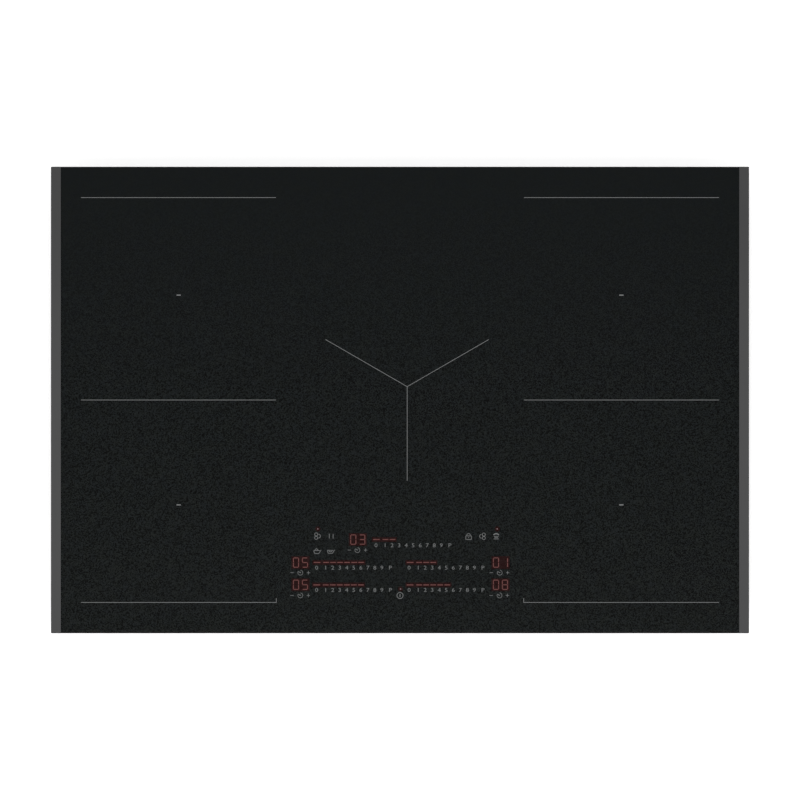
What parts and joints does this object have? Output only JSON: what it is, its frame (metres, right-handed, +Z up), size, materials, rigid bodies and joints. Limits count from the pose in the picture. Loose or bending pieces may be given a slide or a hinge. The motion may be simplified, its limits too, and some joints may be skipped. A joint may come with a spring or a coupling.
{
  "type": "built-in induction hob",
  "caption": "Built-in induction hob: matt black glass top with grey side trims, printed cooking zones and touch controls over a sprung-coil steel casing.",
  "frame": {"origin": "middle of the footprint, on the underside of the steel casing", "axes": "+X to the user's right along the long side, +Y to the rear wall, +Z up out of the glass"},
  "size_m": [0.778, 0.52, 0.0449],
  "materials": {
    "black_glass": "satin",
    "trim": "satin",
    "print": "matte",
    "foam": "matte",
    "galvanised": "satin",
    "silicone": "satin",
    "screw_steel": "satin",
    "black_plastic": "matte",
    "grey_plastic": "matte",
    "contact_brass": "satin",
    "board_green": "satin",
    "component_dark": "matte",
    "plain_aluminium": "satin",
    "capacitor_blue": "gloss",
    "white_plastic": "matte",
    "fan_plastic": "satin",
    "motor_metal": "satin",
    "post_steel": "satin",
    "display_black": "gloss",
    "pad_rubber": "matte",
    "spring_steel": "satin",
    "ferrite": "matte",
    "copper_litz": "satin",
    "mica": "satin",
    "sensor_ceramic": "matte"
  },
  "bodies": {
    "casing": {"board_supports": "white_plastic", "bottom_tray": "galvanised", "cable_gland": "black_plastic", "capacitors": "capacitor_blue", "casing_screws": "screw_steel", "coil_posts": "post_steel", "control_board": "board_green", "control_housing": "grey_plastic", "display_modules": "display_black", "fan_housing_left": "black_plastic", "fan_housing_right": "black_plastic", "fan_motors": "motor_metal", "filter_board": "board_green", "filter_components": "component_dark", "glass_bond": "silicone", "glass_frame": "galvanised", "glass_panel": "black_glass", "heatsink_left": "plain_aluminium", "heatsink_right": "plain_aluminium", "power_board_left": "board_green", "power_board_right": "board_green", "power_transistors": "component_dark", "side_trim_left": "trim", "side_trim_right": "trim", "spring_holders": "spring_steel", "terminal_block": "grey_plastic", "terminal_screws": "contact_brass", "touch_pads": "pad_rubber", "worktop_seal": "foam", "zone_print": "print"},
    "coil_unit_left": {"coil_plate_left": "plain_aluminium", "coil_formers_left": "white_plastic", "coil_ferrites_left": "ferrite", "coil_windings_left": "copper_litz", "coil_mica_left": "mica", "coil_sensors_left": "sensor_ceramic", "coil_springs_left": "spring_steel"},
    "coil_unit_right": {"coil_plate_right": "plain_aluminium", "coil_formers_right": "white_plastic", "coil_ferrites_right": "ferrite", "coil_windings_right": "copper_litz", "coil_mica_right": "mica", "coil_sensors_right": "sensor_ceramic", "coil_springs_right": "spring_steel"},
    "coil_unit_centre": {"coil_plate_centre": "plain_aluminium", "coil_formers_centre": "white_plastic", "coil_ferrites_centre": "ferrite", "coil_windings_centre": "copper_litz", "coil_mica_centre": "mica", "coil_sensors_centre": "sensor_ceramic", "coil_springs_centre": "spring_steel"},
    "fan_left": {"fan_impeller_left": "fan_plastic"},
    "fan_right": {"fan_impeller_right": "fan_plastic"},
    "terminal_cover": {"terminal_lid": "black_plastic"},
    "snap_rear_left": {"snap_spring_rear_left": "spring_steel"},
    "snap_rear_right": {"snap_spring_rear_right": "spring_steel"},
    "snap_front_left": {"snap_spring_front_left": "spring_steel"},
    "snap_front_right": {"snap_spring_front_right": "spring_steel"}
  },
  "joints": [
    {"name": "fan_spin_left", "type": "hinge", "parent": "casing", "child": "fan_left", "pos_m": [-0.19, 0.186, 0.005], "axis": [0, 0, 1], "continuous": true},
    {"name": "fan_spin_right", "type": "hinge", "parent": "casing", "child": "fan_right", "pos_m": [0.19, 0.186, 0.005], "axis": [0, 0, 1], "continuous": true},
    {"name": "coil_float_left", "type": "slide", "parent": "casing", "child": "coil_unit_left", "axis": [0, 0, 1], "range_m": [-0.002, 0], "stiffness_N_per_m": 6000, "springref_m": 0.008, "deforming": ["coil_springs_left"]},
    {"name": "coil_float_right", "type": "slide", "parent": "casing", "child": "coil_unit_right", "axis": [0, 0, 1], "range_m": [-0.002, 0], "stiffness_N_per_m": 6000, "springref_m": 0.008, "deforming": ["coil_springs_right"]},
    {"name": "coil_float_centre", "type": "slide", "parent": "casing", "child": "coil_unit_centre", "axis": [0, 0, 1], "range_m": [-0.002, 0], "stiffness_N_per_m": 4000, "springref_m": 0.008, "deforming": ["coil_springs_centre"]},
    {"name": "snap_flex_rear_left", "type": "hinge", "parent": "casing", "child": "snap_rear_left", "pos_m": [-0.3725, 0.15, 0.009], "axis": [0, 1, 0], "range_deg": [0, 4.5], "stiffness_Nm_per_rad": 2},
    {"name": "snap_flex_rear_right", "type": "hinge", "parent": "casing", "child": "snap_rear_right", "pos_m": [0.3725, 0.15, 0.009], "axis": [0, -1, 0], "range_deg": [0, 4.5], "stiffness_Nm_per_rad": 2},
    {"name": "snap_flex_front_left", "type": "hinge", "parent": "casing", "child": "snap_front_left", "pos_m": [-0.3725, -0.15, 0.009], "axis": [0, 1, 0], "range_deg": [0, 4.5], "stiffness_Nm_per_rad": 2},
    {"name": "snap_flex_front_right", "type": "hinge", "parent": "casing", "child": "snap_front_right", "pos_m": [0.3725, -0.15, 0.009], "axis": [0, -1, 0], "range_deg": [0, 4.5], "stiffness_Nm_per_rad": 2},
    {"name": "terminal_cover_swing", "type": "hinge", "parent": "casing", "child": "terminal_cover", "pos_m": [0, 0.19, 0.0024], "axis": [-1, 0, 0], "range_deg": [0, 100]}
  ]
}
